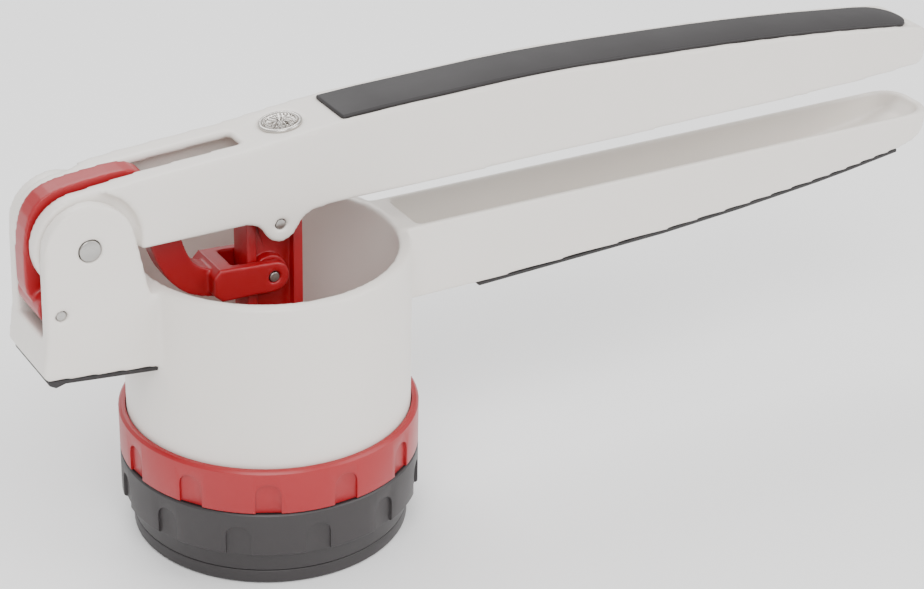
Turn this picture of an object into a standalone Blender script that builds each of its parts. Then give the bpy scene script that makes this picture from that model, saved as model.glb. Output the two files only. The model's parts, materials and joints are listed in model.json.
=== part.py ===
"""Long-handled lever press (potato ricer form), built as an assembly of separate pieces.

+Z is up and +X runs from the hopper along the handles. Sizes are in metres, and are given from
the hopper's axis; at the end the whole press is moved along X to centre its box on the origin.
It stands on its base ring at Z = 0.
"""

import math

import bmesh
import bpy
from mathutils import Matrix, Vector

MM = 0.001
GAP = 0.3 * MM          # kept between pieces that touch
LONG = 200 * MM         # reach of a cutter that runs out of the part

# Hopper
HOPPER_R = 42.0 * MM
HOPPER_BORE_R = HOPPER_R - 3.9 * MM
HOPPER_RIM_Z = 89.8 * MM
SPIGOT_R = HOPPER_R - 2.1 * MM
LUG_REACH = 1.6 * MM
LUG_HEIGHT = 2.0 * MM
LUG_ARC = 28.0
LUG_COUNT = 4

# Twist-on rings, from the ground up
BASE_HEIGHT = 4.6 * MM
BASE_R = HOPPER_R - 0.9 * MM
COARSE_SKIRT_R = HOPPER_R - 0.7 * MM
COARSE_FLOOR_Z = 11.6 * MM
RING_R = HOPPER_R + 2.4 * MM
RING_HEIGHT = 13.8 * MM
RING_FLOOR = 1.5 * MM
DISC_THICK = 2.0 * MM
NOTCH_COUNT = 12
NOTCH_WIDTH = 7.4 * MM
NOTCH_HEIGHT = 9.8 * MM
NOTCH_DEPTH = 1.1 * MM
FINE_NOTCH_TURN = 3.9
COARSE_NOTCH_TURN = 22.5
FINE_HOLE_R = 1.7 * MM
COARSE_HOLE_R = 2.6 * MM

# Linkage pivots, seen from the side as (X, Z)
HINGE = (-58.6 * MM, 106.1 * MM)
LINK_PIVOT = (-67.7 * MM, 88.3 * MM)
LUG = (-0.5 * MM, 100.3 * MM)
CLEVIS = (-1.2 * MM, 82.4 * MM)
HINGE_PIN_R = 3.1 * MM
SMALL_PIN_R = 1.5 * MM
CLEVIS_SLACK = 1.7 * MM  # room that the column leaves round the clevis pin
WASHER_R = 3.6 * MM
WASHER_THICK = 0.7 * MM

# Tower
TOWER_HALF = 14.0 * MM
TOWER_GAP_HALF = 9.5 * MM
CHEEK_R = 13.3 * MM
TOWER_BACK_X = -74.0 * MM
TOWER_FOOT_Z = 67.2 * MM
TOWER_FLOOR_Z = 81.0 * MM
PAD_THICK = 1.4 * MM
PAD_LIP = 1.2 * MM

# Handles
GRIP_HALF = 9.0 * MM
HANDLE_HALF = 11.5 * MM
HANDLE_WALL = 2.2 * MM
HANDLE_TIP_X = 232.6 * MM
BARREL_R = 14.3 * MM
BARREL_HALF = TOWER_GAP_HALF - GAP
RELIEF_R = 16.0 * MM
SLOT_HALF = 4.2 * MM
SLOT_END_X = -9.3 * MM
LUG_R = 5.3 * MM
LOWER_TIP_X = 236.0 * MM
LOWER_HALF = 11.3 * MM
LOWER_WALL = 2.0 * MM
LOWER_FLOOR = 2.4 * MM
GRIP_THICK = 1.8 * MM
LOWER_GRIP_THICK = 1.2 * MM
TIP_ROUND = 8.4 * MM
BADGE_R = 6.3 * MM
BADGE_X = 4.9 * MM
BADGE_THICK = 0.8 * MM

# Plunger and link
PLATE_R = HOPPER_BORE_R - 3.1 * MM
PLATE_THICK = 3.2 * MM
COLUMN_X = (-8.2 * MM, 9.4 * MM)
COLUMN_HALF = 4.6 * MM
COLUMN_WEB = 1.8 * MM
COLUMN_FLANGE = 3.0 * MM
LINK_HALF = 3.6 * MM
FORK_HALF = 8.0 * MM
FORK_WALL = 2.8 * MM
ARM_R = 4.7 * MM

# Heights that follow from the sizes above
COARSE_TOP_Z = COARSE_FLOOR_Z + RING_HEIGHT
FINE_FLOOR_Z = COARSE_TOP_Z + GAP
FINE_TOP_Z = FINE_FLOOR_Z + RING_HEIGHT
RING_BORE_R = HOPPER_R + GAP
DISC_R = RING_BORE_R - GAP


def disc_top(floor_z):
    """Height of the perforated disc's top above a ring whose floor starts at floor_z."""
    return floor_z + RING_FLOOR + GAP + DISC_THICK


def spigot_foot(floor_z):
    """Height at which the spigot above that disc ends."""
    return disc_top(floor_z) + GAP


def lug_foot(floor_z):
    """Height of the spigot's lugs; the ring's own lugs ride just over them."""
    return spigot_foot(floor_z) + 1.2 * MM


PLATE_Z = disc_top(FINE_FLOOR_Z) + 0.9 * MM

COLOURS = {
    "white": ((0.86, 0.84, 0.81, 1), 0.38, 0.0),
    "red": ((0.62, 0.05, 0.07, 1), 0.42, 0.0),
    "charcoal": ((0.06, 0.055, 0.055, 1), 0.55, 0.0),
    "soft_black": ((0.03, 0.028, 0.027, 1), 0.7, 0.0),
    "steel": ((0.62, 0.61, 0.6, 1), 0.3, 1.0),
}


def clear_scene():
    for item in list(bpy.data.objects):
        bpy.data.objects.remove(item)


def collection(name):
    found = bpy.data.collections.new(name)
    bpy.context.scene.collection.children.link(found)
    return found


def material(name):
    found = bpy.data.materials.get(name)
    if found is None:
        colour, roughness, metallic = COLOURS[name]
        found = bpy.data.materials.new(name)
        found.use_nodes = True
        shader = found.node_tree.nodes["Principled BSDF"]
        shader.inputs["Base Color"].default_value = colour
        shader.inputs["Roughness"].default_value = roughness
        shader.inputs["Metallic"].default_value = metallic
    return found


def freeze(item, welded=1e-6):
    """The object's evaluated mesh as a new plain mesh object in the same place."""
    bpy.context.view_layer.update()
    graph = bpy.context.evaluated_depsgraph_get()
    mesh = bpy.data.meshes.new_from_object(item.evaluated_get(graph))
    mesh.transform(item.matrix_world)
    name = item.name
    bpy.data.objects.remove(item)
    work = bmesh.new()
    work.from_mesh(mesh)
    bmesh.ops.remove_doubles(work, verts=work.verts, dist=welded)
    bmesh.ops.recalc_face_normals(work, faces=work.faces)
    work.to_mesh(mesh)
    work.free()
    made = bpy.data.objects.new(name, mesh)
    bpy.context.scene.collection.objects.link(made)
    return made


def prism(name, outline, low, high, axis="Y"):
    """A closed outline in X and Z carried from low to high along Y, or one in X and Y along Z."""
    curve = bpy.data.curves.new(name, "CURVE")
    curve.dimensions = "2D"
    curve.fill_mode = "BOTH"
    curve.extrude = (high - low) / 2
    spline = curve.splines.new("POLY")
    spline.points.add(len(outline) - 1)
    for point, (x, z) in zip(spline.points, outline):
        point.co = (x, z, 0, 1)
    spline.use_cyclic_u = True
    item = bpy.data.objects.new(name, curve)
    bpy.context.scene.collection.objects.link(item)
    middle = (low + high) / 2
    if axis == "Y":
        item.rotation_euler = (math.pi / 2, 0, 0)
        item.location = (0, middle, 0)
    else:
        item.location = (0, 0, middle)
    return freeze(item)


def turned(name, profile, steps=80):
    """A ring or disc turned round the Z axis from a closed profile of (radius, Z)."""
    mesh = bpy.data.meshes.new(name)
    points = [(r, 0, z) for r, z in profile]
    on_axis = profile[0][0] == 0 and profile[-1][0] == 0
    count = len(points)
    edges = [(i, (i + 1) % count) for i in range(count - (1 if on_axis else 0))]
    mesh.from_pydata(points, edges, [])
    item = bpy.data.objects.new(name, mesh)
    bpy.context.scene.collection.objects.link(item)
    screw = item.modifiers.new("turn", "SCREW")
    screw.steps = steps
    screw.render_steps = steps
    screw.use_merge_vertices = True
    screw.merge_threshold = 1e-6
    return freeze(item)


def rod(name, centre, radius, low, high, sides=32):
    """A cylinder along Y through the side-view point centre."""
    bpy.ops.mesh.primitive_cylinder_add(
        vertices=sides,
        radius=radius,
        depth=high - low,
        location=(centre[0], (low + high) / 2, centre[1]),
        rotation=(math.pi / 2, 0, 0),
    )
    item = bpy.context.object
    item.name = name
    return freeze(item)


def post(name, x, y, radius, low, high, sides=10):
    """A cylinder along Z."""
    bpy.ops.mesh.primitive_cylinder_add(
        vertices=sides, radius=radius, depth=high - low, location=(x, y, (low + high) / 2)
    )
    item = bpy.context.object
    item.name = name
    return freeze(item)


def arc(centre, radius, start, end, steps):
    """Points on a circle from start to end, in degrees, ends included."""
    turn = (end - start) / steps
    angles = [math.radians(start + turn * i) for i in range(steps + 1)]
    return [(centre[0] + radius * math.cos(a), centre[1] + radius * math.sin(a)) for a in angles]


def smooth_run(knots, steps):
    """A smooth line through the knots (Catmull-Rom), with steps points on each span."""
    ends = [knots[0], *knots, knots[-1]]
    line = []
    for a, b, c, d in zip(ends, ends[1:], ends[2:], ends[3:]):
        for i in range(steps):
            t = i / steps
            line.append(tuple(
                0.5 * (2 * b[k] + (c[k] - a[k]) * t
                       + (2 * a[k] - 5 * b[k] + 4 * c[k] - d[k]) * t ** 2
                       + (3 * b[k] - a[k] - 3 * c[k] + d[k]) * t ** 3)
                for k in (0, 1)
            ))
    return [*line, knots[-1]]


class Builder:
    """Puts finished pieces in the model's collection and tools in another."""

    def __init__(self):
        self.parts = collection("lever_press")
        self.tools = collection("cutters")
        self.root = bpy.data.objects.new("press", None)
        self.parts.objects.link(self.root)

    def centre(self):
        """Stands the press with the middle of its box over the origin."""
        bpy.context.view_layer.update()
        xs = [(piece.matrix_world @ Vector(corner)).x
              for piece in self.parts.objects if piece.type == "MESH" for corner in piece.bound_box]
        self.root.location.x = -(min(xs) + max(xs)) / 2

    def _move(self, item, home):
        for owner in list(item.users_collection):
            owner.objects.unlink(item)
        home.objects.link(item)

    def boolean(self, item, other, operation):
        self._move(other, self.tools)
        other.hide_render = True
        other.display_type = "WIRE"
        step = item.modifiers.new(other.name, "BOOLEAN")
        step.operation = operation
        step.solver = "EXACT"
        step.object = other

    def join(self, item, *others):
        for other in others:
            self.boolean(item, other, "UNION")

    def cut(self, item, *others):
        for other in others:
            self.boolean(item, other, "DIFFERENCE")

    def bake(self, item):
        """Applies the Booleans so far, so that the next ones work on a plain mesh."""
        return freeze(item)

    def finish(self, item, name, colour, pivot=None):
        """Names a piece, paints it, puts its origin on its pivot and files it."""
        item.name = name
        item.data.name = name
        item.data.materials.clear()
        item.data.materials.append(material(colour))
        if pivot is not None:
            place = Vector((pivot[0], 0, pivot[1]))
            item.data.transform(Matrix.Translation(-place))
            item.location = place
        self._move(item, self.parts)
        item.parent = self.root
        item.data.shade_smooth()
        item.data.set_sharp_from_angle(angle=math.radians(35))
        return item


def lug_segments(name, inner, outer, low, high, steps=6):
    """The bayonet lugs: short arcs spaced evenly round the Z axis."""
    segments = []
    for i in range(LUG_COUNT):
        middle = 45 + i * 360 / LUG_COUNT
        start = middle - LUG_ARC / 2
        end = middle + LUG_ARC / 2
        outline = arc((0, 0), outer, start, end, steps) + arc((0, 0), inner, end, start, steps)
        segments.append(prism(f"{name}_{i}", outline, low, high, axis="Z"))
    return segments


def upper_top():
    """Top line of the upper handle, from the barrel to the tip."""
    knots = [
        (HINGE[0], HINGE[1] + BARREL_R), (-40 * MM, 122.6 * MM), (-10 * MM, 124.6 * MM),
        (20 * MM, 127.9 * MM), (58 * MM, 129.4 * MM), (90 * MM, 129.8 * MM),
        (125 * MM, 128.6 * MM), (160 * MM, 126.8 * MM), (195 * MM, 124.0 * MM),
        (222 * MM, 121.0 * MM), (228 * MM, 119.6 * MM),
    ]
    return smooth_run(knots, 3)


def height_on(line, x):
    for (x0, z0), (x1, z1) in zip(line, line[1:]):
        if x0 <= x <= x1:
            return z0 + (z1 - z0) * (x - x0) / (x1 - x0)
    return line[-1][1]


def upper_bottom():
    """Lower edge of the upper handle, from the tip back to the tower, with the plunger's lug."""
    knots = [
        (228 * MM, 108.0 * MM), (200 * MM, 106.1 * MM), (150 * MM, 104.9 * MM),
        (100 * MM, 104.3 * MM), (55 * MM, 103.8 * MM), (20 * MM, 103.6 * MM),
    ]
    lead_in = [(10 * MM, 103.0 * MM), (6.6 * MM, 101.2 * MM)]
    lug = arc(LUG, LUG_R, -20, -165, 10)
    lead_out = [(-7.6 * MM, 101.2 * MM), (-11.5 * MM, 102.4 * MM), (-30 * MM, 102.3 * MM)]
    return smooth_run(knots, 3) + lead_in + lug + lead_out


def upper_outline():
    """Side view of the upper handle: barrel, top line, rounded tip and lower edge."""
    tip = [
        (HANDLE_TIP_X - 1.4 * MM, 117.2 * MM), (HANDLE_TIP_X, 113.8 * MM),
        (HANDLE_TIP_X - 0.2 * MM, 111.2 * MM), (HANDLE_TIP_X - 1.8 * MM, 109.2 * MM),
    ]
    barrel = arc(HINGE, BARREL_R, -16, -266, 30)
    return upper_top() + tip + upper_bottom() + barrel


def plan_outline(tip_x, half, back_x):
    """Plan of a handle with a rounded tip."""
    turn_x = tip_x - TIP_ROUND
    turn_y = half - TIP_ROUND
    near = arc((turn_x, -turn_y), TIP_ROUND, -90, 0, 6)
    far = arc((turn_x, turn_y), TIP_ROUND, 0, 90, 6)
    return [(back_x, -half), *near, *far, (back_x, half)]


def intersect_plan(build, item, tip_x, half, back_x):
    """Keeps only what lies inside the plan outline."""
    plan = prism(f"{item.name}_plan", plan_outline(tip_x, half, back_x), -LONG, LONG, axis="Z")
    build.boolean(item, plan, "INTERSECT")


def grip_outline(lift, drop):
    """Side view of the upper grip, between lift over and drop under the top line."""
    top = upper_top()
    xs = [20 * MM + i * (226 - 20) * MM / 16 for i in range(17)]
    upper = [(x, height_on(top, x) + lift) for x in xs]
    lower = [(x, height_on(top, x) - drop) for x in reversed(xs)]
    return upper + lower


def upper_handle(build):
    item = prism("upper_blank", upper_outline(), -HANDLE_HALF, HANDLE_HALF)
    intersect_plan(build, item, HANDLE_TIP_X, HANDLE_HALF, -LONG)
    item = build.bake(item)
    edge = item.modifiers.new("soften", "BEVEL")
    edge.width = 2.0 * MM
    edge.segments = 3
    edge.limit_method = "ANGLE"
    edge.angle_limit = math.radians(60)
    item = build.bake(item)
    for side in (-1, 1):
        low, high = sorted((side * BARREL_HALF, side * LONG))
        build.cut(item, rod(f"relief_{side}", HINGE, RELIEF_R, low, high, 64))
    item = build.bake(item)
    inner_top = [(x, z - HANDLE_WALL) for x, z in upper_top() if -42 * MM < x < HANDLE_TIP_X - 10 * MM]
    pocket = [(-41.5 * MM, 60 * MM), *inner_top, (HANDLE_TIP_X - 9 * MM, 116.5 * MM),
              (HANDLE_TIP_X - 4.5 * MM, 112 * MM), (HANDLE_TIP_X - 4.5 * MM, 60 * MM)]
    half = HANDLE_HALF - HANDLE_WALL
    hollow = prism("upper_hollow", pocket, -half, half)
    intersect_plan(build, hollow, HANDLE_TIP_X - HANDLE_WALL, half, -LONG)
    hollow = build.bake(hollow)
    slot = prism("slot", [(-LONG, 60 * MM), (SLOT_END_X, 60 * MM), (SLOT_END_X, LONG), (-LONG, LONG)],
                 -SLOT_HALF, SLOT_HALF)
    recess = prism("grip_recess", grip_outline(5 * MM, GRIP_THICK - 0.6 * MM), -GRIP_HALF, GRIP_HALF)
    badge_z = height_on(upper_top(), BADGE_X)
    dish = post("badge_recess", 0, 0, BADGE_R + GAP, -BADGE_THICK, 5 * MM, 40)
    dish.data.transform(badge_tilt())
    dish.data.transform(Matrix.Translation((BADGE_X, 0, badge_z)))
    build.cut(item, hollow, slot, recess, dish,
              rod("hinge_bore", HINGE, HINGE_PIN_R + GAP, -LONG, LONG),
              rod("lug_bore", LUG, SMALL_PIN_R + GAP, -LONG, LONG, 20))
    return build.finish(build.bake(item), "upper_handle", "white", HINGE)


def badge_tilt():
    """Turns the badge to lie along the handle's rising top line."""
    top = upper_top()
    rise = height_on(top, BADGE_X + 3 * MM) - height_on(top, BADGE_X - 3 * MM)
    return Matrix.Rotation(-math.atan2(rise, 6 * MM), 4, "Y")


def badge(build):
    item = turned("badge_blank", [
        (0, 0.3 * MM), (BADGE_R - 1.2 * MM, 0.3 * MM), (BADGE_R - 0.9 * MM, 0.6 * MM),
        (BADGE_R - 0.3 * MM, 0.6 * MM), (BADGE_R, 0.3 * MM), (BADGE_R, GAP - BADGE_THICK),
        (0, GAP - BADGE_THICK),
    ], 40)
    item.data.transform(badge_tilt())
    item.data.transform(Matrix.Translation((BADGE_X, 0, height_on(upper_top(), BADGE_X))))
    return build.finish(item, "badge", "steel", HINGE)


def upper_grip(build):
    item = prism("grip_blank", grip_outline(0.7 * MM, GRIP_THICK - 0.6 * MM - GAP),
                 -GRIP_HALF + GAP, GRIP_HALF - GAP)
    plan = plan_outline(226 * MM - GAP, GRIP_HALF - GAP, 20 * MM + GAP)
    build.boolean(item, prism("grip_plan", plan, -LONG, LONG, axis="Z"), "INTERSECT")
    return build.finish(build.bake(item), "upper_grip", "soft_black", HINGE)


def lower_bottom():
    """Lower edge of the fixed handle, from the hopper out to the tip."""
    knots = [
        (30 * MM, 66.4 * MM), (65 * MM, 66.8 * MM), (105 * MM, 68.2 * MM),
        (145 * MM, 70.4 * MM), (190 * MM, 74.6 * MM), (222 * MM, 79.0 * MM),
    ]
    return smooth_run(knots, 3)


def lower_outline(top_z):
    """Side view of the fixed handle."""
    tip = [(LOWER_TIP_X - 6 * MM, 81.6 * MM), (LOWER_TIP_X - 1.5 * MM, 84.6 * MM),
           (LOWER_TIP_X, 87.5 * MM), (LOWER_TIP_X, top_z)]
    return lower_bottom() + tip + [(30 * MM, top_z)]


def tower_outline():
    """Side view of the tower's cheeks."""
    head = arc(HINGE, CHEEK_R, 10, 170, 20)
    return [(-30 * MM, TOWER_FOOT_Z - 2 * MM), (-30 * MM, HOPPER_RIM_Z - 1 * MM),
            (-41.6 * MM, HOPPER_RIM_Z - 1 * MM), *head,
            (TOWER_BACK_X + 1.6 * MM, 82 * MM), (TOWER_BACK_X, 71 * MM),
            (TOWER_BACK_X + 1.2 * MM, TOWER_FOOT_Z + 2.2 * MM)]


def body_shell(build):
    """Hopper, hinge tower and fixed handle, moulded as one piece."""
    foot = spigot_foot(FINE_FLOOR_Z)
    body = turned("hopper", [
        (0, HOPPER_RIM_Z), (HOPPER_R - 1.2 * MM, HOPPER_RIM_Z),
        (HOPPER_R - 0.35 * MM, HOPPER_RIM_Z - 0.35 * MM), (HOPPER_R, HOPPER_RIM_Z - 1.2 * MM),
        (HOPPER_R, FINE_TOP_Z - 2.2 * MM), (SPIGOT_R, FINE_TOP_Z - 2.2 * MM - 1 * MM),
        (SPIGOT_R, foot), (0, foot),
    ])
    tower = prism("tower", tower_outline(), -TOWER_HALF, TOWER_HALF)
    edge = tower.modifiers.new("soften", "BEVEL")
    edge.width = 1.6 * MM
    edge.segments = 3
    edge.limit_method = "ANGLE"
    edge.angle_limit = math.radians(50)
    tower = build.bake(tower)
    handle = prism("lower_blank", lower_outline(HOPPER_RIM_Z + 0.4 * MM), -LOWER_HALF, LOWER_HALF)
    intersect_plan(build, handle, LOWER_TIP_X, LOWER_HALF, 0)
    handle = build.bake(handle)
    build.join(body, tower, handle)
    body = build.bake(body)
    build.join(body, *lug_segments("hopper_lug", SPIGOT_R - 0.5 * MM, SPIGOT_R + LUG_REACH,
                                   lug_foot(FINE_FLOOR_Z), lug_foot(FINE_FLOOR_Z) + LUG_HEIGHT))
    body = build.bake(body)
    bore = turned("bore", [(0, 2 * HOPPER_RIM_Z), (HOPPER_BORE_R, 2 * HOPPER_RIM_Z),
                           (HOPPER_BORE_R, BASE_HEIGHT), (0, BASE_HEIGHT)])
    build.cut(body, bore)
    body = build.bake(body)
    gap = [(-LONG, TOWER_FLOOR_Z + 1 * MM), (TOWER_BACK_X, TOWER_FLOOR_Z + 1 * MM),
           (-62 * MM, TOWER_FLOOR_Z - 4 * MM), (-47 * MM, TOWER_FLOOR_Z - 4 * MM),
           (-43.5 * MM, TOWER_FLOOR_Z), (-43.5 * MM, LONG), (-LONG, LONG)]
    inner = [(x, z + LOWER_FLOOR) for x, z in lower_bottom() if x > 44 * MM]
    trough = [(44.5 * MM, LONG), (44.5 * MM, inner[0][1]), *inner,
              (LOWER_TIP_X - 6 * MM, 84.5 * MM), (LOWER_TIP_X - 2.2 * MM, 89 * MM),
              (LOWER_TIP_X - 2.2 * MM, LONG)]
    half = LOWER_HALF - LOWER_WALL
    hollow = prism("trough", trough, -half, half)
    intersect_plan(build, hollow, LOWER_TIP_X - LOWER_WALL, half, 0)
    hollow = build.bake(hollow)
    build.cut(body, prism("tower_gap", gap, -TOWER_GAP_HALF, TOWER_GAP_HALF), hollow,
              rod("hinge_hole", HINGE, HINGE_PIN_R + GAP, -LONG, LONG),
              rod("pivot_hole", LINK_PIVOT, SMALL_PIN_R + GAP, -LONG, LONG, 20))
    return build.finish(build.bake(body), "body_shell", "white")


def foot_pad(build):
    """Soft rest under the tower, with a small lip at its outer end."""
    front, back = tower_outline()[0], tower_outline()[-1]
    drop = GAP + PAD_THICK
    outline = [
        (front[0], front[1] - GAP), (back[0] + 0.4 * MM, back[1] - GAP),
        (back[0] + 0.4 * MM, back[1] - drop), (back[0] + 2.4 * MM, back[1] - drop - PAD_LIP),
        (back[0] + 5.2 * MM, back[1] - drop - 0.4 * MM), (front[0], front[1] - drop),
    ]
    item = prism("pad_blank", outline, -TOWER_HALF + 0.8 * MM, TOWER_HALF - 0.8 * MM)
    keep_out = turned("pad_clear", [
        (0, LONG), (HOPPER_R + GAP, LONG), (HOPPER_R + GAP, 0), (0, 0)], 64)
    build.cut(item, keep_out)
    return build.finish(build.bake(item), "tower_foot_pad", "soft_black")


def lower_grip(build):
    line = [(x, z) for x, z in lower_bottom() if x > 64 * MM]
    outline = [(x, z - GAP) for x, z in line] + [(x, z - GAP - LOWER_GRIP_THICK) for x, z in reversed(line)]
    half = LOWER_HALF - 0.6 * MM
    item = prism("lower_grip_blank", outline, -half, half)
    return build.finish(item, "lower_grip", "soft_black")


def link_outline():
    """The hooked link in side view: up the back, over the hinge and down into the hopper."""
    outer = [
        (LINK_PIVOT[0] - 3.6 * MM, LINK_PIVOT[1]), (-73.6 * MM, 92 * MM), (-74 * MM, 98 * MM),
        (-73.6 * MM, 107 * MM), (-71.8 * MM, 114.6 * MM), (-68 * MM, 119.3 * MM),
        (-62 * MM, 121.5 * MM), (-52 * MM, 122.6 * MM), (-44 * MM, 123.0 * MM),
        (-38.6 * MM, 121.2 * MM), (-34 * MM, 115 * MM), (-30 * MM, 106 * MM),
        (-27.4 * MM, 97.5 * MM), (-24.6 * MM, 90.6 * MM), (-19.5 * MM, 87.3 * MM),
        (-13 * MM, 86.6 * MM),
    ]
    inner = [
        (-13 * MM, 79.2 * MM), (-18.3 * MM, 78.2 * MM), (-26.0 * MM, 80.8 * MM),
        (-31.4 * MM, 85.7 * MM), (-35.0 * MM, 92.0 * MM), (-37.8 * MM, 100 * MM),
        (-41.6 * MM, 109 * MM), (-46.5 * MM, 113.6 * MM), (-54 * MM, 115.2 * MM),
        (-61 * MM, 114.6 * MM), (-65.5 * MM, 111.4 * MM), (-67.4 * MM, 106 * MM),
        (-67.4 * MM, 98 * MM), (-65.6 * MM, 92.5 * MM), (LINK_PIVOT[0] + 3.4 * MM, LINK_PIVOT[1]),
    ]
    return smooth_run(outer, 2) + smooth_run(inner, 2)


def link_arm(build):
    """Red hooked link with its pivot tube and its fork."""
    item = prism("link_blank", link_outline(), -LINK_HALF, LINK_HALF)
    tube_half = BARREL_HALF - WASHER_THICK - GAP
    tube = rod("pivot_tube", LINK_PIVOT, 4.7 * MM, -tube_half, tube_half, 28)
    fork = arc(CLEVIS, ARM_R, -90, 90, 10) + [(-18.0 * MM, 88.2 * MM), (-20 * MM, 86 * MM),
                                             (-20 * MM, 80.4 * MM), (-17.6 * MM, 78.2 * MM)]
    jaw = prism("fork", fork, -FORK_HALF, FORK_HALF)
    build.join(item, tube, jaw)
    item = build.bake(item)
    throat = [(-13.4 * MM, 60 * MM), (20 * MM, 60 * MM), (20 * MM, 100 * MM), (-13.4 * MM, 100 * MM)]
    half = FORK_HALF - FORK_WALL
    build.cut(item, prism("throat", throat, -half, half),
              rod("link_bore", LINK_PIVOT, SMALL_PIN_R + GAP, -LONG, LONG, 20),
              rod("fork_bore", CLEVIS, SMALL_PIN_R + GAP, -LONG, LONG, 20))
    return build.finish(build.bake(item), "link_arm", "red", LINK_PIVOT)


def plunger_column(build):
    """Red I-section column from the handle's lug to the plate."""
    low = PLATE_Z + PLATE_THICK + GAP
    top = LUG[1] + 1 * MM
    left, right = COLUMN_X
    web = prism("web", [(left + 1 * MM, low), (right - 1 * MM, low), (right - 1 * MM, top),
                        (left + 1 * MM, top)], -COLUMN_WEB, COLUMN_WEB)
    near = prism("flange_a", [(left, low), (left + COLUMN_FLANGE, low),
                              (left + COLUMN_FLANGE, top - 2 * MM), (left, top - 2 * MM)],
                 -COLUMN_HALF, COLUMN_HALF)
    far = prism("flange_b", [(right - COLUMN_FLANGE, low), (right, low), (right, top - 2 * MM),
                             (right - COLUMN_FLANGE, top - 2 * MM)], -COLUMN_HALF, COLUMN_HALF)
    side = HANDLE_HALF - HANDLE_WALL - GAP
    tube = rod("lug_tube", LUG, 4.6 * MM, -side, side, 28)
    boss = rod("clevis_boss", CLEVIS, SMALL_PIN_R + CLEVIS_SLACK + 2.2 * MM, -COLUMN_HALF, COLUMN_HALF, 28)
    sole = turned("sole", [(0, low + 2.4 * MM), (12 * MM, low + 2.4 * MM), (15 * MM, low), (0, low)], 48)
    build.join(web, near, far, tube, boss, sole)
    item = build.bake(web)
    build.cut(item, rod("lug_hole", LUG, SMALL_PIN_R + GAP, -LONG, LONG, 20),
              rod("slack_hole", CLEVIS, SMALL_PIN_R + CLEVIS_SLACK, -LONG, LONG, 24),
              post("screw_hole", 0, 0, 1.6 * MM, low - 1 * MM, low + 12 * MM, 16))
    return build.finish(build.bake(item), "plunger_column", "red", LUG)


def plunger_plate(build):
    low = PLATE_Z
    top = low + PLATE_THICK
    item = turned("plate_blank", [
        (0, top), (PLATE_R - 3 * MM, top), (PLATE_R - 2.4 * MM, top + 1.6 * MM),
        (PLATE_R - 0.4 * MM, top + 1.6 * MM), (PLATE_R, top + 1.2 * MM), (PLATE_R, low + 0.5 * MM),
        (PLATE_R - 0.5 * MM, low), (0, low),
    ])
    build.cut(item, post("plate_hole", 0, 0, 1.6 * MM, low - 1 * MM, top + 1 * MM, 16),
              turned("plate_sink", [(0, low + 1.5 * MM), (3.4 * MM, low + 1.5 * MM),
                                    (3.4 * MM, low - 2 * MM), (0, low - 2 * MM)], 24))
    return build.finish(build.bake(item), "plunger_plate", "red", LUG)


def plate_screw(build):
    low = PLATE_Z
    item = turned("screw_blank", [
        (0, low + 11 * MM), (1.2 * MM, low + 11 * MM), (1.2 * MM, low + 1.5 * MM - GAP),
        (3.0 * MM, low + 1.5 * MM - GAP), (3.0 * MM, low + 0.2 * MM), (0, low + 0.2 * MM),
    ], 24)
    return build.finish(item, "plate_screw", "steel", LUG)


def pins(build):
    reach = TOWER_HALF - 0.3 * MM
    build.finish(rod("a", HINGE, HINGE_PIN_R, -reach, reach, 36), "hinge_pin", "steel", HINGE)
    build.finish(rod("b", LINK_PIVOT, SMALL_PIN_R, -reach + 0.6 * MM, reach - 0.6 * MM, 20),
                 "link_pivot_pin", "steel", LINK_PIVOT)
    reach = HANDLE_HALF - 0.5 * MM
    build.finish(rod("c", LUG, SMALL_PIN_R, -reach, reach, 20), "lug_pin", "steel", LUG)
    reach = FORK_HALF - 0.1 * MM
    build.finish(rod("d", CLEVIS, SMALL_PIN_R, -reach, reach, 20), "clevis_pin", "steel", CLEVIS)


def washers(build):
    """Washers between the link's pivot tube and the tower's cheeks."""
    for name, side in (("near", -1), ("far", 1)):
        low, high = sorted((side * BARREL_HALF, side * (BARREL_HALF - WASHER_THICK)))
        item = rod(f"washer_blank_{name}", LINK_PIVOT, WASHER_R, low, high, 24)
        build.cut(item, rod(f"washer_bore_{name}", LINK_PIVOT, SMALL_PIN_R + GAP, -LONG, LONG, 16))
        build.finish(build.bake(item), f"link_washer_{name}", "steel", LINK_PIVOT)


def notches(name, floor_z, offset):
    """Arched finger notches cut in from a ring's lower edge."""
    cutters = []
    for i in range(NOTCH_COUNT):
        middle = (0, NOTCH_HEIGHT - NOTCH_WIDTH / 2)
        arch = arc(middle, NOTCH_WIDTH / 2, 0, 180, 8)
        outline = [(NOTCH_WIDTH / 2, -2 * MM), *arch, (-NOTCH_WIDTH / 2, -2 * MM)]
        cutter = prism(f"{name}_{i}", outline, RING_R - NOTCH_DEPTH, RING_R + 3 * MM)
        turn = Matrix.Rotation(math.radians(offset + i * 360 / NOTCH_COUNT), 4, "Z")
        cutter.data.transform(turn @ Matrix.Translation((0, 0, floor_z)))
        cutters.append(cutter)
    return cutters


def twist_ring(build, name, floor_z, profile, colour, offset):
    """A ring with inner lugs over its spigot's lugs, and finger notches."""
    item = turned(f"{name}_blank", profile)
    lug_z = lug_foot(floor_z) + LUG_HEIGHT + 0.4 * MM
    build.join(item, *lug_segments(f"{name}_lug", SPIGOT_R + 0.4 * MM, RING_BORE_R + 0.5 * MM,
                                   lug_z, lug_z + LUG_HEIGHT))
    item = build.bake(item)
    build.cut(item, *notches(f"{name}_notch", floor_z, offset))
    return build.finish(build.bake(item), name, colour)


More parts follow.
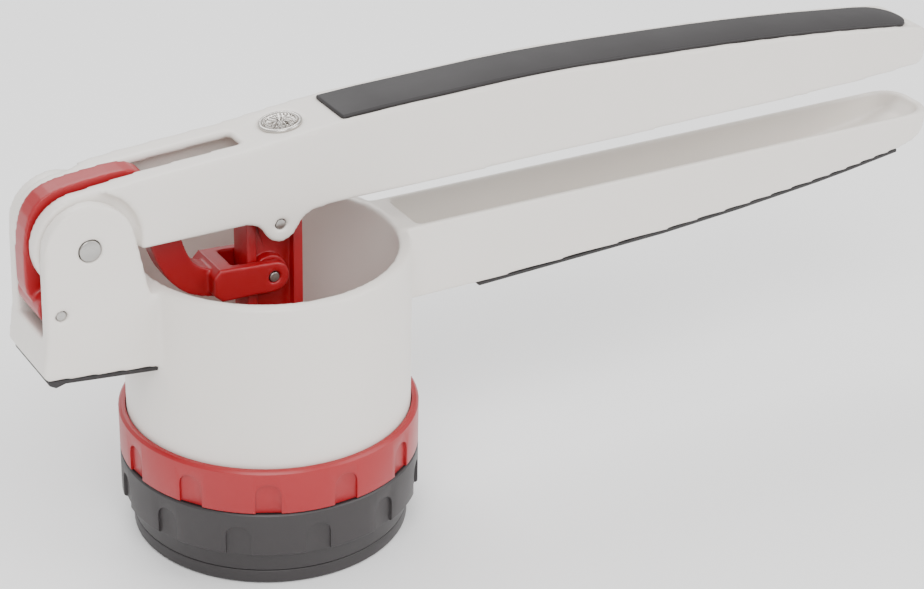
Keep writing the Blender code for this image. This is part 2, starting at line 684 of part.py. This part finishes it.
def fine_ring(build):
    floor = FINE_FLOOR_Z
    foot = spigot_foot(COARSE_FLOOR_Z)
    profile = [
        (RING_BORE_R, FINE_TOP_Z), (RING_R - 0.8 * MM, FINE_TOP_Z), (RING_R, FINE_TOP_Z - 0.8 * MM),
        (RING_R, floor + 0.3 * MM), (RING_R - 0.3 * MM, floor), (SPIGOT_R, floor), (SPIGOT_R, foot),
        (HOPPER_BORE_R, foot), (HOPPER_BORE_R, floor + RING_FLOOR), (RING_BORE_R, floor + RING_FLOOR),
    ]
    item = turned("fine_ring_blank", profile)
    lug_z = lug_foot(floor) + LUG_HEIGHT + 0.4 * MM
    outer_z = lug_foot(COARSE_FLOOR_Z)
    build.join(item, *lug_segments("fine_lug", SPIGOT_R + 0.4 * MM, RING_BORE_R + 0.5 * MM,
                                   lug_z, lug_z + LUG_HEIGHT),
               *lug_segments("spigot_lug", SPIGOT_R - 0.5 * MM, SPIGOT_R + LUG_REACH,
                             outer_z, outer_z + LUG_HEIGHT))
    item = build.bake(item)
    build.cut(item, *notches("fine_notch", floor, FINE_NOTCH_TURN))
    return build.finish(build.bake(item), "fine_ring", "red")


def coarse_ring(build):
    floor = COARSE_FLOOR_Z
    skirt = BASE_HEIGHT + GAP
    profile = [
        (RING_BORE_R, COARSE_TOP_Z), (RING_R - 0.5 * MM, COARSE_TOP_Z),
        (RING_R, COARSE_TOP_Z - 0.5 * MM), (RING_R, floor + 0.5 * MM), (RING_R - 0.5 * MM, floor),
        (COARSE_SKIRT_R, floor - 0.4 * MM), (COARSE_SKIRT_R - 0.2 * MM, skirt),
        (HOPPER_BORE_R, skirt), (HOPPER_BORE_R, floor + RING_FLOOR), (RING_BORE_R, floor + RING_FLOOR),
    ]
    return twist_ring(build, "coarse_ring", floor, profile, "charcoal", COARSE_NOTCH_TURN)


def base_ring(build):
    item = turned("base_blank", [
        (HOPPER_BORE_R, BASE_HEIGHT), (BASE_R - 0.3 * MM, BASE_HEIGHT), (BASE_R, BASE_HEIGHT - 0.3 * MM),
        (BASE_R, 0.8 * MM), (BASE_R - 0.8 * MM, 0), (HOPPER_BORE_R, 0),
    ])
    return build.finish(item, "base_ring", "charcoal")


def perforated(build, name, floor_z, hole_r, colour, rings, sides):
    """A flat disc with rings of holes; the middle stays solid."""
    low = floor_z + RING_FLOOR + GAP
    high = low + DISC_THICK
    item = turned(f"{name}_blank", [(0, high), (DISC_R, high), (DISC_R, low), (0, low)])
    work = bmesh.new()
    for radius, count in rings:
        for i in range(count):
            angle = 2 * math.pi * i / count
            middle = (radius * math.cos(angle), radius * math.sin(angle), (low + high) / 2)
            place = Matrix.Translation(middle)
            bmesh.ops.create_cone(work, cap_ends=True, segments=sides, radius1=hole_r, radius2=hole_r,
                                  depth=DISC_THICK + 2 * MM, matrix=place)
    mesh = bpy.data.meshes.new(f"{name}_holes")
    work.to_mesh(mesh)
    work.free()
    drill = bpy.data.objects.new(f"{name}_holes", mesh)
    bpy.context.scene.collection.objects.link(drill)
    build.cut(item, drill)
    return build.finish(build.bake(item), name, colour)


def main():
    clear_scene()
    build = Builder()
    body_shell(build)
    foot_pad(build)
    lower_grip(build)
    upper_handle(build)
    upper_grip(build)
    badge(build)
    link_arm(build)
    plunger_column(build)
    plunger_plate(build)
    plate_screw(build)
    pins(build)
    washers(build)
    fine_ring(build)
    coarse_ring(build)
    base_ring(build)
    fine_rings = [(8 * MM, 6), (15 * MM, 13), (22 * MM, 19), (29 * MM, 26)]
    coarse_rings = [(11 * MM, 7), (20 * MM, 13), (29 * MM, 19)]
    perforated(build, "fine_disc", FINE_FLOOR_Z, FINE_HOLE_R, "red", fine_rings, 8)
    perforated(build, "coarse_disc", COARSE_FLOOR_Z, COARSE_HOLE_R, "charcoal", coarse_rings, 8)
    build.centre()


main()
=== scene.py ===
"""The looks of the long-handled lever press, built round its fixed frame of mechanical parts."""

import enum
import json
import logging
import math
from dataclasses import dataclass

import bmesh
import bpy
from mathutils import Matrix, Vector


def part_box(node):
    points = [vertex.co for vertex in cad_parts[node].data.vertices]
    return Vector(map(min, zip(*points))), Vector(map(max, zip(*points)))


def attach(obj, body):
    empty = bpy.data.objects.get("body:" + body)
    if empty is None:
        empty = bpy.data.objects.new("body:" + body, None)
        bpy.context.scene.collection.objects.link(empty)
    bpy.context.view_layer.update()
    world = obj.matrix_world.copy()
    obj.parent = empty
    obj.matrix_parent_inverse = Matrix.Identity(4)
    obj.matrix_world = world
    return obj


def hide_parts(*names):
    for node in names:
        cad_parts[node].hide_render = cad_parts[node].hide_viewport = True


MM = 0.001
BROAD_PER_M = 30        # broad, faint clouding of colour and gloss, about 33 mm apart
BUMP_STRENGTH = 0.35
BRUSH_STRETCH = (1, 9, 9)
WELD = 0.001 * MM
FLAT = math.radians(1)
EDGE_ANGLE = math.radians(40)
SHARP_ANGLE = math.radians(48)
RELAX_ROUNDS = 4
LOG = logging.getLogger("lever_press")

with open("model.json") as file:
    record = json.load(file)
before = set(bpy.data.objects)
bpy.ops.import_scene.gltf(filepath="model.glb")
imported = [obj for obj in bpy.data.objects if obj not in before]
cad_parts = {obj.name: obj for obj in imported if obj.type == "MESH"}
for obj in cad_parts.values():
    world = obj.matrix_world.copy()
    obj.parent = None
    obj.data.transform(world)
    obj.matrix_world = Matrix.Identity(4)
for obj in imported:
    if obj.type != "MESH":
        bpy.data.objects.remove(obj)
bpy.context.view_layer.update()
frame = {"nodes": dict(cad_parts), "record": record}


def linear(colour: str) -> tuple[float, float, float, float]:
    """Turns an sRGB hex colour to linear.

    Args:
        colour: Six hex digits.

    Returns:
        Linear red, green, blue and an alpha of 1.
    """
    parts = [int(colour[i:i + 2], 16) / 255 for i in (0, 2, 4)]
    turned = [p / 12.92 if p <= 0.04045 else ((p + 0.055) / 1.055) ** 2.4 for p in parts]
    return (*turned, 1.0)


def add_node(tree: bpy.types.NodeTree, kind: str, settings: dict | None = None,
             inputs: dict | None = None) -> bpy.types.Node:
    """Adds a node with its settings and its inputs.

    Args:
        tree: The tree that the node goes in.
        kind: The node's type.
        settings: Attribute name to value.
        inputs: Input name or number to a value or to the socket linked to it.

    Returns:
        The new node.
    """
    made = tree.nodes.new(kind)
    for name, value in (settings or {}).items():
        setattr(made, name, value)
    for name, value in (inputs or {}).items():
        if isinstance(value, bpy.types.NodeSocket):
            tree.links.new(value, made.inputs[name])
        else:
            made.inputs[name].default_value = value
    return made


class Slot(enum.Enum):
    """The record's material slots."""

    WHITE = "white_abs"
    RED = "red_nylon"
    CHARCOAL = "charcoal_nylon"
    RUBBER = "soft_rubber"
    STEEL = "steel_pins"
    NICKEL = "bright_nickel"


@dataclass(frozen=True)
class Finish:
    """A moulded or machined surface: two close colours, a grain and a bump, at real sizes."""

    name: str
    slot: Slot
    colour: str
    shade: str
    roughness: float
    roughness_spread: float
    grain_mm: float
    grain_depth_mm: float
    metallic: float = 0.0
    coat: float = 0.0
    ior: float = 1.5
    brushed: bool = False

    def material(self) -> bpy.types.Material:
        """Builds the material, or returns it if it is there already.

        Returns:
            The material named for this finish.
        """
        found = bpy.data.materials.get(self.name)
        if found:
            return found
        made = bpy.data.materials.new(self.name)
        made.use_nodes = True
        tree = made.node_tree
        shader = tree.nodes["Principled BSDF"]
        place = add_node(tree, "ShaderNodeTexCoord").outputs["Object"]
        if self.brushed:
            stretch = add_node(tree, "ShaderNodeMapping", inputs={"Vector": place, "Scale": BRUSH_STRETCH})
            place = stretch.outputs["Vector"]
        broad = add_node(tree, "ShaderNodeTexNoise",
                         inputs={"Vector": place, "Scale": BROAD_PER_M, "Detail": 4})
        grain = add_node(tree, "ShaderNodeTexNoise",
                         inputs={"Vector": place, "Scale": 1 / (self.grain_mm * MM), "Detail": 3})
        tint = add_node(tree, "ShaderNodeMix", {"data_type": "RGBA"}, {"Factor": broad.outputs["Fac"]})
        tint.inputs["A"].default_value = linear(self.colour)
        tint.inputs["B"].default_value = linear(self.shade)
        tree.links.new(tint.outputs["Result"], shader.inputs["Base Color"])
        gloss = add_node(tree, "ShaderNodeMapRange", inputs={
            "Value": broad.outputs["Fac"], "From Min": 0.3, "From Max": 0.7,
            "To Min": self.roughness - self.roughness_spread,
            "To Max": self.roughness + self.roughness_spread})
        tree.links.new(gloss.outputs["Result"], shader.inputs["Roughness"])
        relief = add_node(tree, "ShaderNodeBump", inputs={
            "Height": grain.outputs["Fac"], "Strength": BUMP_STRENGTH, "Distance": self.grain_depth_mm * MM})
        tree.links.new(relief.outputs["Normal"], shader.inputs["Normal"])
        shader.inputs["Metallic"].default_value = self.metallic
        shader.inputs["Coat Weight"].default_value = self.coat
        if not self.metallic:
            shader.inputs["IOR"].default_value = self.ior
        return made


# ABS moulded in a lightly textured tool: a warm white with a soft sheen and no sharp mirror.
WHITE_ABS = Finish("ABS, warm white, moulded", Slot.WHITE, "E9E4DE", "E3DDD6", 0.36, 0.05, 0.6, 0.02,
                   coat=0.08, ior=1.54)
# Nylon coloured right through, moulded smooth: a deep red whose edges catch a soft light.
RED_NYLON = Finish("Nylon, red, moulded", Slot.RED, "9E0B17", "940914", 0.38, 0.06, 0.7, 0.03,
                   coat=0.05, ior=1.53)
# The same nylon in charcoal, with the finer spark-eroded texture that greys it a little.
CHARCOAL_NYLON = Finish("Nylon, charcoal, moulded", Slot.CHARCOAL, "2E2A2B", "272324", 0.48, 0.06, 0.5,
                        0.04, ior=1.53)
# TPE overmould: a soft skin that scatters light, so its highlights are wide and dim.
SOFT_TPE = Finish("TPE, near black, overmoulded", Slot.RUBBER, "2A2728", "242122", 0.56, 0.06, 0.4, 0.05,
                  ior=1.5)
# Stainless steel rod, turned and faced: grey with a fine directional scratch.
TURNED_STEEL = Finish("Stainless steel, turned", Slot.STEEL, "B9B7B4", "A6A4A1", 0.3, 0.06, 0.3, 0.02,
                      metallic=1.0, brushed=True)
# Nickel plate over a pressed disc: bright, slightly warm, soft at the small scale.
NICKEL_PLATE = Finish("Nickel plate, satin", Slot.NICKEL, "CFCBC6", "BDB9B4", 0.24, 0.05, 0.35, 0.015,
                      metallic=1.0)


@dataclass(frozen=True)
class Piece:
    """One finished piece: the CAD node that it stands for and its finish."""

    node: str
    finish: Finish
    soften_mm: float = 0.3
    voxel_mm: float = 0.0

    def mesh(self) -> bpy.types.Object:
        """Copies the CAD node as a plain object with its doubles merged.

        Returns:
            The new object at the origin.
        """
        source = frame["nodes"][self.node]
        made = bpy.data.objects.new(f"{self.node}_skin", source.data.copy())
        bpy.context.scene.collection.objects.link(made)
        work = bmesh.new()
        work.from_mesh(made.data)
        bmesh.ops.remove_doubles(work, verts=work.verts, dist=WELD)
        bmesh.ops.dissolve_limit(work, angle_limit=FLAT, verts=work.verts, edges=work.edges)
        work.to_mesh(made.data)
        work.free()
        return made

    def dress(self, made: bpy.types.Object) -> None:
        """Gives the piece its softened edges, smooth shading and material.

        Args:
            made: The object to dress.
        """
        made.data.materials.clear()
        made.data.materials.append(self.finish.material())
        if self.voxel_mm:
            remesh(made, self.voxel_mm)
        else:
            soften(made, self.soften_mm)

    def build(self, extra: list[bpy.types.Object] | None = None) -> bpy.types.Object:
        """Builds the piece, joins what repeats on it and hands it to the frame.

        Args:
            extra: Plain mesh objects that become part of the piece.

        Returns:
            The finished object.
        """
        made = self.mesh()
        self.dress(made)
        if extra:
            join(made, extra)
        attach(made, body_of(self.node))
        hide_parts(self.node)
        LOG.info("%s: %d faces", made.name, len(made.data.polygons))
        return made


def body_of(node: str) -> str:
    """The body that a node belongs to.

    Args:
        node: A CAD node's name.

    Returns:
        The body's name.
    """
    bodies = frame["record"]["behaviour"]["bodies"]
    return next(body for body, members in bodies.items() if node in members)


def plain(made: bpy.types.Object) -> None:
    """Replaces the object's mesh with its evaluated mesh and drops its modifiers.

    Args:
        made: The object to settle.
    """
    bpy.context.view_layer.update()
    graph = bpy.context.evaluated_depsgraph_get()
    mesh = bpy.data.meshes.new_from_object(made.evaluated_get(graph))
    made.modifiers.clear()
    made.data = mesh


def soften(made: bpy.types.Object, width_mm: float) -> None:
    """Rounds the piece's moulded edges a little, and shades it smooth.

    Args:
        made: The object.
        width_mm: How far the rounding reaches from an edge.
    """
    if width_mm:
        edge = made.modifiers.new("edge", "BEVEL")
        edge.width = width_mm * MM
        edge.segments = 2
        edge.limit_method = "ANGLE"
        edge.angle_limit = EDGE_ANGLE
        plain(made)
    made.data.shade_smooth()
    made.data.set_sharp_from_angle(angle=SHARP_ANGLE)


def remesh(made: bpy.types.Object, voxel_mm: float) -> None:
    """Turns the piece into an even skin and relaxes it, so that every edge is a moulded one.

    Args:
        made: The object.
        voxel_mm: The skin's cell size.
    """
    skin = made.modifiers.new("skin", "REMESH")
    skin.mode = "VOXEL"
    skin.voxel_size = voxel_mm * MM
    skin.use_smooth_shade = True
    relax = made.modifiers.new("relax", "SMOOTH")
    relax.factor = 0.5
    relax.iterations = RELAX_ROUNDS
    plain(made)
    made.data.shade_smooth()


def join(made: bpy.types.Object, extra: list[bpy.types.Object]) -> None:
    """Adds other plain objects' meshes to this one, keeping their materials.

    Args:
        made: The object that takes the meshes.
        extra: The objects to add; they are removed.
    """
    with bpy.context.temp_override(active_object=made, object=made,
                                   selected_editable_objects=[made, *extra]):
        bpy.ops.object.join()


class Repeater:
    """A Geometry Nodes tree that sets one small shape at even steps round a circle."""

    def __init__(self) -> None:
        """Builds the tree once."""
        self.tree = bpy.data.node_groups.new("even ring", "GeometryNodeTree")
        face = self.tree.interface
        face.new_socket("Geometry", in_out="INPUT", socket_type="NodeSocketGeometry")
        self.count, self.radius, self.size, self.finish = [
            face.new_socket(name, in_out="INPUT", socket_type=f"NodeSocket{kind}").identifier
            for name, kind in (("Count", "Int"), ("Radius", "Float"), ("Size", "Vector"),
                               ("Finish", "Material"))
        ]
        face.new_socket("Geometry", in_out="OUTPUT", socket_type="NodeSocketGeometry")
        given = add_node(self.tree, "NodeGroupInput")
        circle = add_node(self.tree, "GeometryNodeMeshCircle", inputs={
            "Vertices": given.outputs["Count"], "Radius": given.outputs["Radius"]})
        where = add_node(self.tree, "GeometryNodeInputPosition")
        turn = add_node(self.tree, "FunctionNodeAlignEulerToVector", {"axis": "X"},
                        {"Vector": where.outputs["Position"]})
        shape = add_node(self.tree, "GeometryNodeMeshUVSphere", inputs={
            "Segments": 10, "Rings": 6, "Radius": 1.0})
        smooth = add_node(self.tree, "GeometryNodeSetShadeSmooth", inputs={0: shape.outputs["Mesh"]})
        copies = add_node(self.tree, "GeometryNodeInstanceOnPoints", inputs={
            "Points": circle.outputs["Mesh"], "Instance": smooth.outputs[0],
            "Rotation": turn.outputs["Rotation"], "Scale": given.outputs["Size"]})
        real = add_node(self.tree, "GeometryNodeRealizeInstances", inputs={0: copies.outputs[0]})
        painted = add_node(self.tree, "GeometryNodeSetMaterial", inputs={
            "Geometry": real.outputs[0], "Material": given.outputs["Finish"]})
        add_node(self.tree, "NodeGroupOutput", inputs={0: painted.outputs[0]})

    def make(self, count: int, radius: float, size: tuple[float, float, float], finish: Finish,
             place: Matrix) -> bpy.types.Object:
        """Makes one ring as a plain mesh.

        Args:
            count: How many copies.
            radius: The circle's radius.
            size: Half sizes of a copy: outwards, along the circle and up.
            finish: The copies' finish.
            place: Where the circle lies.

        Returns:
            The ring, at the origin, with its place in its mesh.
        """
        made = bpy.data.objects.new("ring", bpy.data.meshes.new("ring"))
        bpy.context.scene.collection.objects.link(made)
        step = made.modifiers.new("ring", "NODES")
        step.node_group = self.tree
        step[self.count] = count
        step[self.radius] = radius
        step[self.size] = size
        step[self.finish] = finish.material()
        plain(made)
        made.data.transform(place)
        return made


@dataclass
class Body:
    """Hopper, tower and fixed handle with their soft pads and pins."""

    skin_mm: float = 0.8

    def build(self) -> None:
        """Builds every piece that stands still."""
        Piece("body_shell", WHITE_ABS, voxel_mm=self.skin_mm).build()
        Piece("tower_foot_pad", SOFT_TPE, 0.35).build()
        Piece("lower_grip", SOFT_TPE, 0.35).build()
        for pin in ("hinge_pin", "link_pivot_pin"):
            Piece(pin, TURNED_STEEL, 0.25).build()
        for washer in ("link_washer_near", "link_washer_far"):
            Piece(washer, TURNED_STEEL, 0.12).build()


@dataclass
class Lever:
    """Upper handle with its grip and its badge."""

    ring: Repeater
    skin_mm: float = 0.8
    bead_count: int = 28
    bead_mm: float = 0.34
    bead_ring_mm: float = 4.6
    ray_count: int = 12
    ray_ring_mm: float = 2.3
    ray_half_mm: tuple[float, float, float] = (1.5, 0.3, 0.3)
    badge_slope: float = 4.5201
    badge_face_mm: float = 0.75

    def badge_marks(self) -> list[bpy.types.Object]:
        """Makes a ring of beads and a ring of rays on the badge's face.

        Returns:
            The two rings, lying in the badge's face.
        """
        low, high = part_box("badge")
        middle = (low + high) / 2
        lift = Matrix.Translation((middle.x, 0, middle.z + self.badge_face_mm * MM))
        face = lift @ Matrix.Rotation(-math.radians(self.badge_slope), 4, "Y")
        bead = self.bead_mm * MM
        beads = self.ring.make(self.bead_count, self.bead_ring_mm * MM, (bead,) * 3, NICKEL_PLATE, face)
        ray = tuple(half * MM for half in self.ray_half_mm)
        rays = self.ring.make(self.ray_count, self.ray_ring_mm * MM, ray, NICKEL_PLATE, face)
        return [beads, rays]

    def build(self) -> None:
        """Builds every piece that moves with the lever."""
        Piece("upper_handle", WHITE_ABS, voxel_mm=self.skin_mm).build()
        Piece("upper_grip", SOFT_TPE, 0.6).build()
        Piece("badge", NICKEL_PLATE, 0.15).build(self.badge_marks())
        Piece("lug_pin", TURNED_STEEL, 0.2).build()


@dataclass
class Linkage:
    """The red link and the plunger that it guides."""

    ring: Repeater
    rib_count: int = 16
    rib_ring_mm: float = 23.5
    rib_half_mm: tuple[float, float, float] = (7.5, 0.8, 0.9)
    rib_sink_mm: float = 1.7
    link_skin_mm: float = 0.45

    def ribs(self) -> bpy.types.Object:
        """Makes the plate's low radial ribs.

        Returns:
            The ribs, lying on the plate.
        """
        low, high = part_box("plunger_plate")
        middle = (low + high) / 2
        top = Matrix.Translation((middle.x, middle.y, high.z - self.rib_sink_mm * MM))
        size = tuple(half * MM for half in self.rib_half_mm)
        return self.ring.make(self.rib_count, self.rib_ring_mm * MM, size, RED_NYLON, top)

    def build(self) -> None:
        """Builds the link, the column and the plate."""
        Piece("link_arm", RED_NYLON, voxel_mm=self.link_skin_mm).build()
        Piece("clevis_pin", TURNED_STEEL, 0.2).build()
        Piece("plunger_column", RED_NYLON, 0.5).build()
        Piece("plunger_plate", RED_NYLON, 0.25).build([self.ribs()])
        Piece("plate_screw", TURNED_STEEL, 0.15).build()


@dataclass
class Rings:
    """The two twist-on rings with their perforated discs, and the ring that the press stands on."""

    soften_mm: float = 0.22

    def build(self) -> None:
        """Builds the rings and discs."""
        Piece("fine_ring", RED_NYLON, self.soften_mm).build()
        Piece("fine_disc", RED_NYLON, 0.12).build()
        Piece("coarse_ring", CHARCOAL_NYLON, self.soften_mm).build()
        Piece("coarse_disc", CHARCOAL_NYLON, 0.12).build()
        Piece("base_ring", CHARCOAL_NYLON, self.soften_mm).build()


@dataclass(frozen=True)
class Lamp:
    """A square soft lamp: where it hangs, its side in metres and its power in watts."""

    place: tuple[float, float, float]
    side: float
    power: float


@dataclass
class Studio:
    """Floor, lights and camera."""

    azimuth: float = -30.237
    elevation: float = 27.24
    roll: float = 1.309
    distance_mm: float = 754.0
    target_mm: tuple[float, float, float] = (65.377, 0.0, 57.467)
    lens_mm: float = 96.36
    floor_m: float = 6.0
    room_strength: float = 0.95
    lamps: tuple[Lamp, ...] = (
        Lamp((-0.5, -0.9, 1.1), 0.9, 15.0),
        Lamp((0.9, -0.7, 0.9), 0.9, 10.0),
        Lamp((0.0, 0.9, 1.2), 1.0, 12.0),
    )

    def floor(self) -> None:
        """Lays the pale floor."""
        bpy.ops.mesh.primitive_plane_add(size=self.floor_m)
        made = bpy.context.object
        made.name = "floor"
        paper = bpy.data.materials.new("paper, white")
        paper.use_nodes = True
        shader = paper.node_tree.nodes["Principled BSDF"]
        shader.inputs["Base Color"].default_value = linear("FAFAFA")
        shader.inputs["Roughness"].default_value = 0.9
        made.data.materials.append(paper)

    def light(self, target: Vector) -> None:
        """Hangs the soft lamps and sets the pale surroundings.

        Args:
            target: The point that the lamps face.
        """
        for i, lamp in enumerate(self.lamps):
            light = bpy.data.lights.new(f"softbox_{i}", "AREA")
            light.energy = lamp.power
            light.size = lamp.side
            made = bpy.data.objects.new(light.name, light)
            made.location = lamp.place
            made.rotation_euler = (target - made.location).to_track_quat("-Z", "Y").to_euler()
            bpy.context.scene.collection.objects.link(made)
        world = bpy.data.worlds.new("pale room")
        world.use_nodes = True
        world.node_tree.nodes["Background"].inputs["Color"].default_value = (1, 1, 1, 1)
        world.node_tree.nodes["Background"].inputs["Strength"].default_value = self.room_strength
        bpy.context.scene.world = world

    def camera(self) -> Vector:
        """Places the camera.

        Returns:
            The point that it looks at.
        """
        low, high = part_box("coarse_ring")
        axis = Vector(((low.x + high.x) / 2, 0, 0))
        target = axis + Vector(self.target_mm) * MM
        turn = math.radians(self.azimuth)
        rise = math.radians(self.elevation)
        back = Vector((math.sin(turn) * math.cos(rise), -math.cos(turn) * math.cos(rise), math.sin(rise)))
        made = bpy.data.objects.new("camera", bpy.data.cameras.new("camera"))
        made.data.lens = self.lens_mm
        made.data.clip_start = 0.01
        place = Matrix.Translation(target + back * self.distance_mm * MM)
        facing = back.to_track_quat("Z", "Y").to_matrix().to_4x4()
        made.matrix_world = place @ facing @ Matrix.Rotation(math.radians(self.roll), 4, "Z")
        bpy.context.scene.collection.objects.link(made)
        bpy.context.scene.camera = made
        return target

    def build(self) -> None:
        """Sets up the floor, the camera and the lamps."""
        self.floor()
        self.light(self.camera())


def main() -> None:
    """Builds the press sub-assembly by sub-assembly, then the studio."""
    logging.basicConfig(level=logging.INFO, format="%(message)s")
    ring = Repeater()
    Body().build()
    Lever(ring).build()
    Linkage(ring).build()
    Rings().build()
    Studio().build()


if __name__ == "__main__":
    main()
